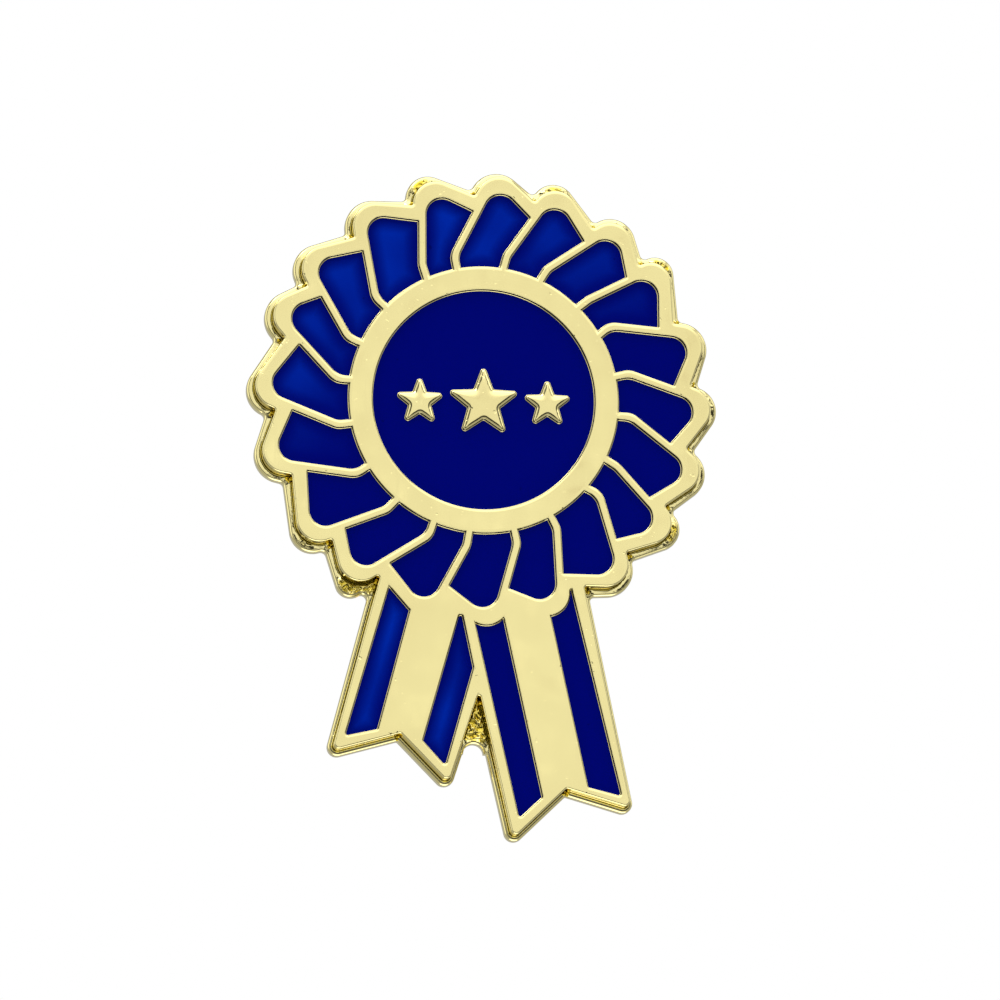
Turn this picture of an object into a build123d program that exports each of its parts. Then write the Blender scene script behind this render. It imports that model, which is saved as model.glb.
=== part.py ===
from build123d import *
import os
from math import atan2, cos, radians, sin, tan

# A die-struck lapel pin in the shape of an award rosette with two ribbon tails.
# Frame: the origin is the rosette's centre on the flat back, +Z is the rosette's top and the front faces -Y.
# The badge's sketches lie on XZ planes: sketch x is +X, sketch y is +Z, and a plane's offset is height
# in front of the back. Everything that is worn behind the cloth has a positive Y.

# ---- badge, millimetres ----
FACE_H = 1.60            # back to the polished face
FLANGE_H = 0.72          # back to the top of the wider base flange
FLANGE = 0.22            # how far the flange stands out past the face's outline
LIP_H = 0.12             # height of the bevelled lip round the face
LIP_TAPER = 35           # its slope, degrees from the side wall
POCKET_DEPTH = 0.45      # depth of the enamel cells below the face
ENAMEL_T = 0.27          # enamel thickness, which leaves it below the metal

# ---- rosette ----
DISC_R = 5.32            # centre enamel disc
RING_R = 6.45            # outer edge of the flat ring round the disc
KNEE_R = 7.10            # where each pleat line bends
RIM_R = 8.85             # where each pleat line reaches the border
TIP_R = 9.16             # clockwise, sharp corner of each cell
CREST_R = 10.58          # counter-clockwise corner of each cell, before it is rounded
CELL_ROUND = 0.80        # rounding of the cell's crest
SCALLOP_ROUND = 1.10     # rounding of the border's crest
BORDER = 0.55            # width of the raised border outside the cells
LINE_W = 0.35            # width of the raised pleat lines
FOOT_INSET = 0.30        # how far each line's foot runs in under the ring
KNEE_ROUND = 0.90
NOTCH_LIFT = 0.18        # how much wider the border is at the notches
NOTCH_ROUND = 0.12       # rounding of the face's inward corners
JOIN_ROUND = 0.10        # rounding where the tails leave the scallops
FLANGE_LIFT = 0.15       # how much further the flange fills the notches
FLANGE_FILL_ROUND = 0.25     # rounding of the flange's inward corners
EDGE_LEFT = 0.02         # straight run that is always left between two roundings
CORNER_ROUND = 0.06      # rounding of the cells' sharp corners

# The pleats are hand drawn and uneven: each is (foot, knee, rim) in degrees clockwise from the top,
# at the ring, at the knee's radius and at the rim's radius.
PLEATS = (
    (8, 9, 14.5), (24.5, 25.5, 32), (44.5, 45.5, 49), (60, 58.5, 66.5), (79, 78.5, 85),
    (96, 95.5, 102.5), (115, 116, 120.5), (131, 129, 136.5), (150, 150.5, 156), (167, 167, 173),
    (186, 186.5, 191), (202, 201.5, 209.5), (220, 220.5, 226.5), (239, 238.5, 247), (258.5, 259, 266),
    (277.5, 277, 286), (294, 294, 302), (313, 313, 321), (334.5, 335.5, 340.5), (348.5, 348.5, 357),
)

# ---- tails: (x, z) places. Each tail is its outer edge, the notch in its end, its inner tip, and a point
# that its inner edge runs up to, under the rosette ----
RIGHT_TAIL = (((4.6, -8), (7.03, -19.5)), (3.94, -18.6), (1.4, -21.05), (-1.6, -8))
LEFT_TAIL = (((-4.77, -8), (-7.2, -17.0)), (-3.94, -16.1), (-1.65, -18.45), (1.76, -8))
TAIL_JOINS = (7, 11)     # the scallops that the right and left outer edges run into
TAIL_ROUND = 0.25
CLEFT_ROUND = 0.08       # where the tails part
STRIPE_ROUND = 0.12
STRIPES = {
    "left_outer": ((-4.2, -8), (-2.93, -8), (-5.02, -15.95), (-6.6, -16.3)),
    "left_inner": ((-1.08, -10), (-0.48, -12.9), (-1.8, -17.65), (-2.9, -16.45)),
    "right_inner": ((-0.7, -9.5), (0.74, -9.5), (2.8, -19.05), (1.68, -20.1)),
    "right_outer": ((2.67, -8), (3.94, -8), (6.57, -18.95), (4.96, -18.55)),
}
WEB = ((-0.25, -13.5), (-1.24, -16.9), (0.46, -16.9))   # the base's web between the tails
WEB_ARCH_R = 0.48                                       # arch in the web's lower edge
WEB_ARCH_AT = (-0.39, -16.9)

# ---- raised stars in the centre disc: (x, z, outer radius) ----
STARS = ((0, -0.15, 1.85), (-3.05, -0.15, 1.3), (3.05, -0.15, 1.3))
STAR_WAIST = 0.42        # inner radius over outer radius
STAR_ROUND = 0.12

# ---- posts ----
POST_Z = {"upper": 4.6, "lower": -9.0}
SHAFT_R = 0.55
GROOVE_R = 0.39
GROOVE_W = 0.60
GROOVES_AT = (4.40, 6.20)    # where each groove starts, behind the back
POST_L = 8.0                 # back to the tip
POINT_L = 0.9
PAD_R = 1.35
PAD_FRONT = -0.15            # the pad sits this deep in its seat
PAD_BACK = 0.20
PAD_FILLET = 0.20
SEAT_R = 1.60
SOLDER_DROP = 0.03           # the solder meets the pad this far below its face

# ---- butterfly clutches ----
RUNNING = 0.07           # radial clearance round the shaft
PLATE_Y = 4.90           # back to the clutch plate, with the jaws at the second groove
PLATE_R = 4.5
PLATE_T = 0.35
RIM_H = 0.75
COLLAR_R = 2.90
COLLAR_IN_R = 2.55
COLLAR_LIP_R = 2.20
COLLAR_H = 0.95
LIP_T = 0.20
NIB_AT = 3.5
NIB_R = 0.32
NIB_H = 0.40
NIB_TAPER = 25           # degrees
EDGE_ROUND = 0.05        # rounding of a pressed part's cut edges
BEND_ROUND = 0.15        # rounding of the collar's bends
RIM_ROUND = 0.30         # rounding under the plate's rim
RIM_TOP_ROUND = 0.10
BARREL_R = 2.10
BARREL_IN_R = 1.85
BARREL_FLANGE_R = 2.45
BARREL_FLANGE_Y = (0.41, 0.68)      # above the plate's front face
BARREL_H = 3.55
BARREL_TOP_T = 0.28
BARREL_ROUND = 0.45      # rounding of the barrel's closed end, outside
BARREL_IN_ROUND = 0.20   # and inside
BORE_ROUND = 0.08
WINDOW_HALF_W = 1.15
WINDOW_Y = (1.20, 3.00)
LEAF_T = 0.32
JAW_Y = 6.50
JAW_HALF_W = 0.80
JAW_GAP = 0.10           # from the middle to each jaw's end
JAW_CLEAR = 0.02
PIVOT_X = 1.60
PIVOT_Y = 7.20
TAB_R = 0.20
TAB_HALF_W = 1.30
TAB_CLEAR = 0.05
WING_PATH = ((2.7, 7.90), (3.6, 8.15), (4.3, 8.75))  # the leaf's bends outside the barrel, then its end
WING_HALF_W = 2.1
LEAF_BENDS = (0.25, 0.3, 0.8, 0.8)       # radii of the leaf's bends, from the jaw outwards
NECK_END_X = 2.2         # where the leaf widens
SHOULDER = (2.7, 1.4)    # (x, half width) on the way to the wing's widest place
WIDEST_X = 3.7
WING_END_X = 4.4


def clockwise(r, degrees):
    """Point at radius r and an angle clockwise from the top."""
    return Vector(r * sin(radians(degrees)), r * cos(radians(degrees)))


def left_of(start, end, distance):
    """The line from start to end as a point and a direction, moved to its left by distance."""
    run = (end - start).normalized()
    return start + Vector(-run.Y, run.X) * distance, run


def meet(line_a, line_b):
    """Where two lines, each a point and a direction, cross."""
    (p, d), (q, e) = line_a, line_b
    across = d.X * e.Y - d.Y * e.X
    gap = q - p
    return p + d * ((gap.X * e.Y - gap.Y * e.X) / across)


def pleat_points(i):
    """Foot, knee and rim of pleat line i, on the line's middle."""
    foot, knee, rim = PLEATS[i % len(PLEATS)]
    return clockwise(RING_R - FOOT_INSET, foot), clockwise(KNEE_R, knee), clockwise(RIM_R, rim)


def cell_corners(i):
    """Corners of the cell between pleats i and i + 1, from its left foot round to its right foot."""
    foot_a, knee_a, rim_a = pleat_points(i)
    foot_b, knee_b, rim_b = pleat_points(i + 1)
    half = LINE_W / 2
    left_low = left_of(foot_a, knee_a, -half)
    left_high = left_of(knee_a, rim_a, -half)
    right_low = left_of(foot_b, knee_b, half)
    right_high = left_of(knee_b, rim_b, half)
    start, run = left_high
    crest = start + run * reach(start, run, CREST_R)
    start, run = right_high
    tip = start + run * reach(start, run, TIP_R)
    return left_low[0], meet(left_low, left_high), crest, tip, meet(right_low, right_high), right_low[0]


def reach(start, run, radius):
    """How far along run from start the circle of this radius round the origin is."""
    along = start.dot(run)
    return -along + (along * along - start.dot(start) + radius * radius) ** 0.5


def scallop_edges(i):
    """The two straight edges of the border round cell i: its flank and its outer rim."""
    corners = cell_corners(i)
    return left_of(corners[1], corners[2], BORDER), left_of(corners[2], corners[3], BORDER)


def edge(start, end):
    """A straight edge from its two (x, z) ends."""
    return left_of(Vector(start), Vector(end), 0)


def rosette_corners():
    """Crest and notch of every scallop, clockwise, each with its rounding."""
    corners = []
    for i in range(len(PLEATS)):
        flank, rim = scallop_edges(i)
        corners.append((meet(flank, rim), SCALLOP_ROUND))
        notch = meet(rim, scallop_edges((i + 1) % len(PLEATS))[0])
        corners.append((notch + notch.normalized() * NOTCH_LIFT, NOTCH_ROUND))
    return corners


def tail_corners():
    """Corners of both tails, clockwise from where the right one leaves the rosette, with their rounding."""
    right_edge, notch_right, tip_right, left_side = RIGHT_TAIL
    corners = [(meet(edge(*right_edge), scallop_edges(TAIL_JOINS[0])[1]), JOIN_ROUND)]
    corners.append((Vector(right_edge[1]), TAIL_ROUND))
    corners.append((Vector(notch_right), NOTCH_ROUND))
    corners.append((Vector(tip_right), TAIL_ROUND))
    left_edge, notch_left, tip_left, right_side = LEFT_TAIL
    corners.append((meet(edge(tip_right, left_side), edge(tip_left, right_side)), CLEFT_ROUND))
    corners.append((Vector(tip_left), TAIL_ROUND))
    corners.append((Vector(notch_left), NOTCH_ROUND))
    corners.append((Vector(left_edge[1]), TAIL_ROUND))
    corners.append((meet(edge(*left_edge), scallop_edges(TAIL_JOINS[1])[0]), JOIN_ROUND))
    return corners


def fitted(corners):
    """The same corners, with an outward corner's rounding made smaller where its edges are too short."""
    count = len(corners)
    runs = [corners[(k + 1) % count][0] - corners[k][0] for k in range(count)]
    slopes = []
    for k in range(count):
        before, after = runs[k - 1], runs[k]
        slopes.append(tan(atan2(before.X * after.Y - before.Y * after.X, before.dot(after)) / 2))
    result = []
    for k, (point, radius) in enumerate(corners):
        behind = runs[k - 1].length - corners[k - 1][1] * abs(slopes[k - 1])
        ahead = runs[k].length - corners[(k + 1) % count][1] * abs(slopes[(k + 1) % count])
        limit = (min(behind, ahead) - EDGE_LEFT) / abs(slopes[k])
        result.append((point, min(radius, limit) if slopes[k] < 0 else radius))
    return result


def rounded_outline(corners, height):
    """Closed outline clockwise through the corners, each rounded by its own radius."""
    with BuildSketch(Plane.XZ.offset(height)) as outline:
        with BuildLine():
            fits = fitted(corners)
            FilletPolyline(*[p for p, r in fits], radius=[r for p, r in fits], close=True)
        make_face()
    return outline.sketch


def face_corners():
    """Corners of the raised face: the scallops, with the tails in place of the lowest ones."""
    scallops = rosette_corners()
    right, left = TAIL_JOINS
    return scallops[:2 * right + 1] + tail_corners() + scallops[2 * left:]


def grown(corners, distance):
    """The same corners for an outline moved outwards, with its outward corners rounded a little more and
    the notches between the scallops filled a little further."""
    count = len(corners)
    sides = [left_of(corners[k][0], corners[(k + 1) % count][0], distance) for k in range(count)]
    result = []
    for k, (point, radius) in enumerate(corners):
        before, after = sides[k - 1], sides[k]
        outward = before[1].X * after[1].Y - before[1].Y * after[1].X < 0
        corner = meet(before, after)
        if outward:
            result.append((corner, radius + distance))
        elif corner.length < CREST_R:
            result.append((corner + corner.normalized() * FLANGE_LIFT, FLANGE_FILL_ROUND))
        else:
            result.append((corner, JOIN_ROUND))
    return result


def flange_outline(height):
    """Outline of the base flange: wider than the face all round, with a web between the tails."""
    with BuildSketch(Plane.XZ.offset(height)) as outline:
        add(rounded_outline(grown(face_corners(), FLANGE), height))
        with BuildLine():
            Polyline(*WEB, close=True)
        make_face()
        with Locations(WEB_ARCH_AT):
            Circle(WEB_ARCH_R, mode=Mode.SUBTRACT)
    return outline.sketch


def star_corners(x, z, radius):
    """Corners of a five-pointed star."""
    points = []
    for k in range(10):
        r = radius if k % 2 == 0 else radius * STAR_WAIST
        points.append(Vector(x, z) + clockwise(r, 36 * k))
    return points


def cell_sketch(i, height):
    """Outline of pleat cell i."""
    radii = [CORNER_ROUND, KNEE_ROUND, CELL_ROUND, CORNER_ROUND, KNEE_ROUND, CORNER_ROUND]
    with BuildSketch(Plane.XZ.offset(height)) as cell:
        add(rounded_outline(list(zip(cell_corners(i), radii)), height))
        Circle(RING_R, mode=Mode.SUBTRACT)
    return cell.sketch


def disc_sketch(height):
    """Outline of the centre disc, with the raised stars left out."""
    with BuildSketch(Plane.XZ.offset(height)) as stars:
        for x, z, radius in STARS:
            add(rounded_outline([(p, STAR_ROUND) for p in star_corners(x, z, radius)], height))
    with BuildSketch(Plane.XZ.offset(height)) as disc:
        Circle(DISC_R)
        add(stars.sketch, mode=Mode.SUBTRACT)
    return disc.sketch


def stripe_sketch(name, height):
    """Outline of one enamel stripe, stopped by the rosette's border."""
    with BuildSketch(Plane.XZ.offset(height)) as stripe:
        add(rounded_outline([(Vector(p), STRIPE_ROUND) for p in STRIPES[name]], height))
        add(rounded_outline(rosette_corners(), height), mode=Mode.SUBTRACT)
    return stripe.sketch


def enamel_sketches(height):
    """Every enamel outline at this height, by node name."""
    outlines = {f"enamel_petal_{i + 1:02d}": cell_sketch(i, height) for i in range(len(PLEATS))}
    outlines["enamel_centre"] = disc_sketch(height)
    for name in STRIPES:
        outlines[f"enamel_stripe_{name}"] = stripe_sketch(name, height)
    return outlines


def struck_body():
    """The one-piece metal badge: base flange, raised face, enamel cells and post seats."""
    with BuildPart() as body:
        with BuildSketch(Plane.XZ):
            add(flange_outline(0))
        extrude(amount=FLANGE_H)
        lip_low = FACE_H - LIP_H
        with BuildSketch(Plane.XZ.offset(FLANGE_H)):
            add(rounded_outline(face_corners(), FLANGE_H))
        extrude(amount=lip_low - FLANGE_H)
        with BuildSketch(Plane.XZ.offset(lip_low)):
            add(rounded_outline(face_corners(), lip_low))
        extrude(amount=LIP_H, taper=LIP_TAPER)
        with BuildSketch(Plane.XZ.offset(FACE_H)):
            for outline in enamel_sketches(FACE_H).values():
                add(outline)
        extrude(amount=-POCKET_DEPTH, mode=Mode.SUBTRACT)
        with BuildSketch(Plane.XZ):
            with Locations(*[(0, z) for z in POST_Z.values()]):
                Circle(SEAT_R)
        extrude(amount=-PAD_FRONT, mode=Mode.SUBTRACT)
    return body.part


def enamel(outline):
    """One enamel fill: it lies on its cell's floor and stops below the face."""
    with BuildPart() as fill:
        add(outline)
        extrude(amount=ENAMEL_T, dir=(0, -1, 0))
    return fill.part


def half_plane(z):
    """Plane for a profile that is turned about a post: sketch x is the radius and sketch y is +Y."""
    return Plane(origin=(0, 0, z), x_dir=(1, 0, 0), z_dir=(0, 0, 1))


def post_axis(z):
    """Middle line of the post at height z."""
    return Axis((0, 0, z), (0, 1, 0))


def post(z):
    """Pointed post with two grooves and a round pad."""
    profile = [(0, PAD_FRONT), (PAD_R, PAD_FRONT), (PAD_R, PAD_BACK), (SHAFT_R + PAD_FILLET, PAD_BACK)]
    shaft = [(SHAFT_R, PAD_BACK + PAD_FILLET)]
    bevel = SHAFT_R - GROOVE_R
    for start in GROOVES_AT:
        shaft += [(SHAFT_R, start), (GROOVE_R, start + bevel)]
        shaft += [(GROOVE_R, start + GROOVE_W - bevel), (SHAFT_R, start + GROOVE_W)]
    shaft += [(SHAFT_R, POST_L - POINT_L), (0, POST_L)]
    with BuildPart() as pin:
        with BuildSketch(half_plane(z)):
            with BuildLine():
                Polyline(*profile)
                RadiusArc(profile[-1], shaft[0], PAD_FILLET)
                Polyline(*shaft)
                Line(shaft[-1], profile[0])
            make_face()
        revolve(axis=post_axis(z))
    return pin.part


def solder(z):
    """Solder fillet between the post's pad and its seat."""
    with BuildPart() as ring:
        with BuildSketch(half_plane(z)):
            with BuildLine():
                top = (PAD_R, PAD_BACK - SOLDER_DROP)
                Polyline((PAD_R, PAD_FRONT), (SEAT_R, PAD_FRONT), (SEAT_R, 0), top, close=True)
            make_face()
        revolve(axis=post_axis(z))
    return ring.part


def clutch_plate(z):
    """Pressed disc with a turned-up rim, a crimped collar and four nibs that grip the cloth."""
    bore = SHAFT_R + RUNNING
    profile = [
        (bore, 0), (PLATE_R, 0), (PLATE_R, RIM_H), (PLATE_R - PLATE_T, RIM_H), (PLATE_R - PLATE_T, PLATE_T),
        (COLLAR_R, PLATE_T), (COLLAR_R, COLLAR_H), (COLLAR_LIP_R, COLLAR_H), (COLLAR_LIP_R, COLLAR_H - LIP_T),
        (COLLAR_IN_R, COLLAR_H - LIP_T), (COLLAR_IN_R, PLATE_T), (bore, PLATE_T),
    ]
    radii = [EDGE_ROUND, RIM_ROUND] + 2 * [RIM_TOP_ROUND] + 3 * [BEND_ROUND] + 5 * [EDGE_ROUND]
    with BuildPart() as plate:
        with BuildSketch(half_plane(z)):
            with BuildLine():
                FilletPolyline(*[(r, PLATE_Y + y) for r, y in profile], radius=radii, close=True)
            make_face()
        revolve(axis=post_axis(z))
        with BuildSketch(Plane(origin=(0, PLATE_Y, z), x_dir=(1, 0, 0), z_dir=(0, -1, 0))):
            with PolarLocations(NIB_AT, 4, start_angle=45):
                Circle(NIB_R)
        extrude(amount=NIB_H, taper=NIB_TAPER)
    return plate.part


def barrel(z):
    """Thin barrel trapped in the plate's collar, open at both sides for the wings."""
    low, high = BARREL_FLANGE_Y
    profile = [
        (BARREL_IN_R, low), (BARREL_FLANGE_R, low), (BARREL_FLANGE_R, high), (BARREL_R, high),
        (BARREL_R, BARREL_H), (SHAFT_R + RUNNING, BARREL_H), (SHAFT_R + RUNNING, BARREL_H - BARREL_TOP_T),
        (BARREL_IN_R, BARREL_H - BARREL_TOP_T),
    ]
    radii = 4 * [EDGE_ROUND] + [BARREL_ROUND, BORE_ROUND, BORE_ROUND, BARREL_IN_ROUND]
    window_low, window_high = WINDOW_Y
    with BuildPart() as tube:
        with BuildSketch(half_plane(z)):
            with BuildLine():
                FilletPolyline(*[(r, PLATE_Y + y) for r, y in profile], radius=radii, close=True)
            make_face()
        revolve(axis=post_axis(z))
        with BuildSketch(half_plane(z)):
            with Locations((0, PLATE_Y + (window_low + window_high) / 2)):
                Rectangle(2 * BARREL_FLANGE_R, window_high - window_low)
        extrude(amount=WINDOW_HALF_W, both=True, mode=Mode.SUBTRACT)
        with BuildSketch(half_plane(z)):
            with Locations((-PIVOT_X, PIVOT_Y), (PIVOT_X, PIVOT_Y)):
                Circle(TAB_R + TAB_CLEAR)
        extrude(amount=BARREL_R, both=True, mode=Mode.SUBTRACT)
    return tube.part


def wing(z, side):
    """One sprung leaf: its jaw grips the shaft and its wing is what the fingers squeeze.
    side is +1 for the leaf on the +X side and -1 for the one on the -X side."""
    path = [(JAW_GAP, JAW_Y), (PIVOT_X, JAW_Y), (PIVOT_X, PIVOT_Y), *WING_PATH]
    with BuildPart() as leaf:
        with BuildSketch(half_plane(z)):
            with BuildLine() as middle:
                FilletPolyline(*[(side * x, y) for x, y in path], radius=LEAF_BENDS)
            trace(middle.line, line_width=LEAF_T)
        extrude(amount=WING_HALF_W, both=True)
        with BuildSketch(Plane(origin=(0, 0, z), x_dir=(side, 0, 0), z_dir=(0, -side, 0))) as outline:
            with BuildLine():
                x, half_w = SHOULDER
                low, high = (x, -half_w), (x, half_w)
                Polyline((0, -JAW_HALF_W), (NECK_END_X, -JAW_HALF_W), low)
                Spline(low, (WIDEST_X, -WING_HALF_W), (WING_END_X, 0), (WIDEST_X, WING_HALF_W), high)
                Polyline(high, (NECK_END_X, JAW_HALF_W), (0, JAW_HALF_W), (0, -JAW_HALF_W))
            make_face()
        extrude(amount=2 * POST_L, both=True, mode=Mode.INTERSECT)
        with BuildSketch(half_plane(z)):
            with Locations((side * PIVOT_X, PIVOT_Y)):
                Circle(TAB_R)
        extrude(amount=TAB_HALF_W, both=True)
        with BuildSketch(Plane(origin=(0, 0, z), x_dir=(1, 0, 0), z_dir=(0, 1, 0))):
            Circle(SHAFT_R + JAW_CLEAR)
        extrude(amount=PIVOT_Y, mode=Mode.SUBTRACT)
    return leaf.part


def write(part, name):
    """Label a finished piece and write its file."""
    part.label = name
    export_step(part, f"parts/{name}.step")


os.makedirs("parts", exist_ok=True)
write(struck_body(), "struck_body")
for name, outline in enamel_sketches(FACE_H - POCKET_DEPTH).items():
    write(enamel(outline), name)
for end, z in POST_Z.items():
    write(post(z), f"{end}_post")
    write(solder(z), f"{end}_solder")
    write(clutch_plate(z), f"{end}_clutch_plate")
    write(barrel(z), f"{end}_barrel")
    write(wing(z, -1), f"{end}_wing_left")
    write(wing(z, 1), f"{end}_wing_right")
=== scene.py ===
import math

import bmesh
import bpy
import numpy as np
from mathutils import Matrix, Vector, noise
from mathutils.geometry import delaunay_2d_cdt


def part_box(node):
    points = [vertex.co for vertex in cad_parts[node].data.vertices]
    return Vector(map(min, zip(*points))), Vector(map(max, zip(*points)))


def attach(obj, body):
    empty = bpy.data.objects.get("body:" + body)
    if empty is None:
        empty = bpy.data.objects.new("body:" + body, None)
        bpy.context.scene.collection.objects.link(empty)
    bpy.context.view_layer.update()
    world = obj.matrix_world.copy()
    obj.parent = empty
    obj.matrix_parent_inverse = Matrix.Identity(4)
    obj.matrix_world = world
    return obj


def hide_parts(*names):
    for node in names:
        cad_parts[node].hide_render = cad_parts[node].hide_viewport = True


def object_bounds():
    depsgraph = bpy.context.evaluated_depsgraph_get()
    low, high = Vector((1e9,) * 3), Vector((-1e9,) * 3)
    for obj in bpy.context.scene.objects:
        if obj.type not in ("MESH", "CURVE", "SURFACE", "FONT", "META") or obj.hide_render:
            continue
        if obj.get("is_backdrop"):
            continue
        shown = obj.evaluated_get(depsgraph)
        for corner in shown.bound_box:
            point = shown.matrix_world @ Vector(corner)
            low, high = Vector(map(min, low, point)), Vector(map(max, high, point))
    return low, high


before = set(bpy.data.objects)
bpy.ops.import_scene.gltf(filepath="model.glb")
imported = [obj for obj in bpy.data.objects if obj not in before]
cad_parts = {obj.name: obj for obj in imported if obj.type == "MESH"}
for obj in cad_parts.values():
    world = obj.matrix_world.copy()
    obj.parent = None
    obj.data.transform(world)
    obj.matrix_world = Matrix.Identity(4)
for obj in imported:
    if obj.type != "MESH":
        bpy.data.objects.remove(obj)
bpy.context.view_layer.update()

# An enamel award rosette pin: a struck and plated metal badge with glazed cells, two posts soldered to its
# back, and a butterfly clutch on each. Meshes are worked out in millimetres and stored in metres. The badge
# faces -Y, so its outlines are (x, z) points and a height is a Y. Everything is read from the CAD nodes.

MM = 0.001
ENDS = ("upper", "lower")

# ---- heights of the badge, from its CAD nodes (Y, mm) ----
FACE_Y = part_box("struck_body")[0].y / MM
BACK_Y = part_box("struck_body")[1].y / MM
FLOOR_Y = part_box("enamel_centre")[1].y / MM
FILL_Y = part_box("enamel_centre")[0].y / MM
SEAT_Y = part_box("upper_solder")[0].y / MM

# ---- finish of the struck metal (mm) ----
PILLOW_R = 0.70          # slow rounding of the polished face towards its edges
PILLOW_TILT = 10         # how far it turns, degrees
SHOULDER_R = 0.08        # rounding of the raised face's outer edge
LINE_R = 0.035           # rounding of the edges round the cells
CELL_TILT = 78           # slope of the cells' walls, degrees from the front
CELL_DRAFT = 0.02        # how far they lean back
CELL_ROOT = 0.19         # below the face, where the fillet at their foot starts
CELL_ROOT_R = 0.05
FLANGE_R = 0.14          # rounding of the base flange
FLANGE_FALL = 0.03       # how far the flange's top slopes down to its edge
FLANGE_TILT = 10         # where its rounding starts, degrees from the front
ROOT_R = 0.05            # fillet where the face's wall meets the flange
STAR_DOME = 0.07         # how far a star's top falls towards its edge
STAR_FALL = 0.11         # how quickly that dies away from the edge
SEAT_R = 0.03
ARC_STEP = math.radians(3)
EDGE_STEP = 0.20
CRUMB_GRID = 0.055       # spacing of the rough flange's points
CRUMB_H = 0.20           # height of its grains
CRUMB_FROM = 0.20        # the ledge is smooth where it is narrower than this
CRUMB_FADE = 0.15        # and fully rough where it is wider by this much more
CRUMB_MARGIN = 0.07      # grains reach their height this far from the ledge's edges
CRUMB_SHADE = 0.42     # how dark the painted shade is in the lows between the grains
GRAIN_SCALE = 5.5        # grains per millimetre
LEDGE_REACH = 0.6        # the ledge is nowhere further than this from one of its edges
BURRS = 7                # trimming burrs in each notch between two scallops
BURR_R = 0.085
# the burrs' colour on the painted-shade scale: a darker amber
BURR_AMBER = 0.3
BURR_OUT = 0.13          # from the wall to the middle of a notch's burrs
BURR_SPREAD = 0.24       # how far they stray from it along the ledge
WALL_UNSHADED = 0.30        # painted shade on the wall deepens from this far above its foot
WALL_SHADE = 0.9      # how dark the painted shade is on the walls' lower parts and in the corners at their feet

# ---- glaze (mm) ----
GLAZE_BITE = 0.012       # the glaze reaches this far into the wall, so no gap shows
GLAZE_DROP = 0.11        # how far it has shrunk below the fill as it dried
GLAZE_RISE = 0.03        # how far it climbs the wall
GLAZE_CLIMB = 0.07       # how quickly the climb dies away
GLAZE_DISH = 0.035       # its broad hollow
GLAZE_RINGS = (0.025, 0.055, 0.095, 0.15, 0.22)
GLAZE_GRID = 0.13
SHEEN_REACH = 0.75        # from the wall to where the painted sheen is full
SHEEN_FALL = 1.5          # how steeply the painted sheen grows away from the wall
SHEEN_FREE_RADIUS = 5.9         # the centre disc's glaze, out to this radius, gets no painted sheen


# ======================================================================================================
# Outlines
# ======================================================================================================

def wall_chains(node, top, bottom):
    """Closed chains of points along one end of a CAD node's upright walls: the walls that run from the
    height top to the height bottom, followed at top, with the open side of the wall on the left."""
    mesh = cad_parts[node].data
    co = np.array([v.co for v in mesh.vertices]) / MM
    after = {}
    for face in mesh.polygons:
        ids = list(face.vertices)
        ys = co[ids, 1]
        at_top = np.abs(ys - top) < 1e-3
        if at_top.all() or not (at_top | (np.abs(ys - bottom) < 1e-3)).all():
            continue
        for k in range(len(ids)):
            a, b = ids[k], ids[(k + 1) % len(ids)]
            if at_top[k] and at_top[(k + 1) % len(ids)]:
                ends = [tuple(np.round(co[v][[0, 2]], 4)) for v in (a, b)]
                after[ends[0]] = ends[1]
    chains = []
    while after:
        start = next(iter(after))
        chain, here = [start], after.pop(start)
        while here != start:
            chain.append(here)
            here = after.pop(here)
        chains.append(np.array(chain if top < bottom else chain[::-1]))
    return chains


def wrapped(angle):
    return (angle + math.pi) % (2 * math.pi) - math.pi


def edge_sweeps(points):
    """Direction, length and turn of each edge: an edge with a neighbour of its own length on a bend is a
    piece of an arc, and any other edge is straight."""
    edges = np.roll(points, -1, 0) - points
    length = np.hypot(*edges.T)
    heading = np.arctan2(edges[:, 1], edges[:, 0])
    turn = wrapped(heading - np.roll(heading, 1))
    bend = (np.abs(turn) > math.radians(0.2)) & (np.abs(turn) < math.radians(20))
    alike_before = bend & (np.abs(length - np.roll(length, 1)) < 0.03 * length)
    alike_after = np.roll(alike_before, -1)
    sweep = np.where(alike_before, turn, np.where(alike_after, np.roll(turn, -1), 0.0))
    return heading, length, sweep


class Outline:
    """A closed outline with its open side on the left: points, and the miter vector that offsets each."""

    def __init__(self, chain):
        heading, length, sweep = edge_sweeps(chain)
        points, starts, ends = [], [], []
        for k, start in enumerate(chain):
            count = max(math.ceil(abs(sweep[k]) / ARC_STEP), math.ceil(length[k] / EDGE_STEP), 1)
            first = heading[k] - sweep[k] / 2
            along = np.array((math.cos(first), math.sin(first)))
            side = np.array((-along[1], along[0]))
            for part in range(count):
                angle = sweep[k] * part / count
                if abs(sweep[k]) > 1e-6:
                    radius = length[k] / (2 * math.sin(sweep[k] / 2))
                    place = start + radius * (math.sin(angle) * along + (1 - math.cos(angle)) * side)
                else:
                    place = start + along * length[k] * part / count
                points.append(place)
                starts.append(first + angle)
                ends.append(first + sweep[k] * (part + 1) / count)
        self.points = np.array(points)
        out, into = np.array(starts), np.roll(np.array(ends), 1)
        half = wrapped(out - into) / 2
        middle = into + half
        self.heading = middle
        self.normals = np.stack((-np.sin(middle), np.cos(middle)), 1)
        self.miter = self.normals / np.maximum(np.cos(half), 0.66)[:, None]

    def moved(self, distance):
        return self.points + self.miter * distance

    def area(self):
        x, z = self.points.T
        return abs(np.dot(x, np.roll(z, -1)) - np.dot(z, np.roll(x, -1))) / 2

    def holds(self, places):
        return inside([self.points], places)


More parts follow.
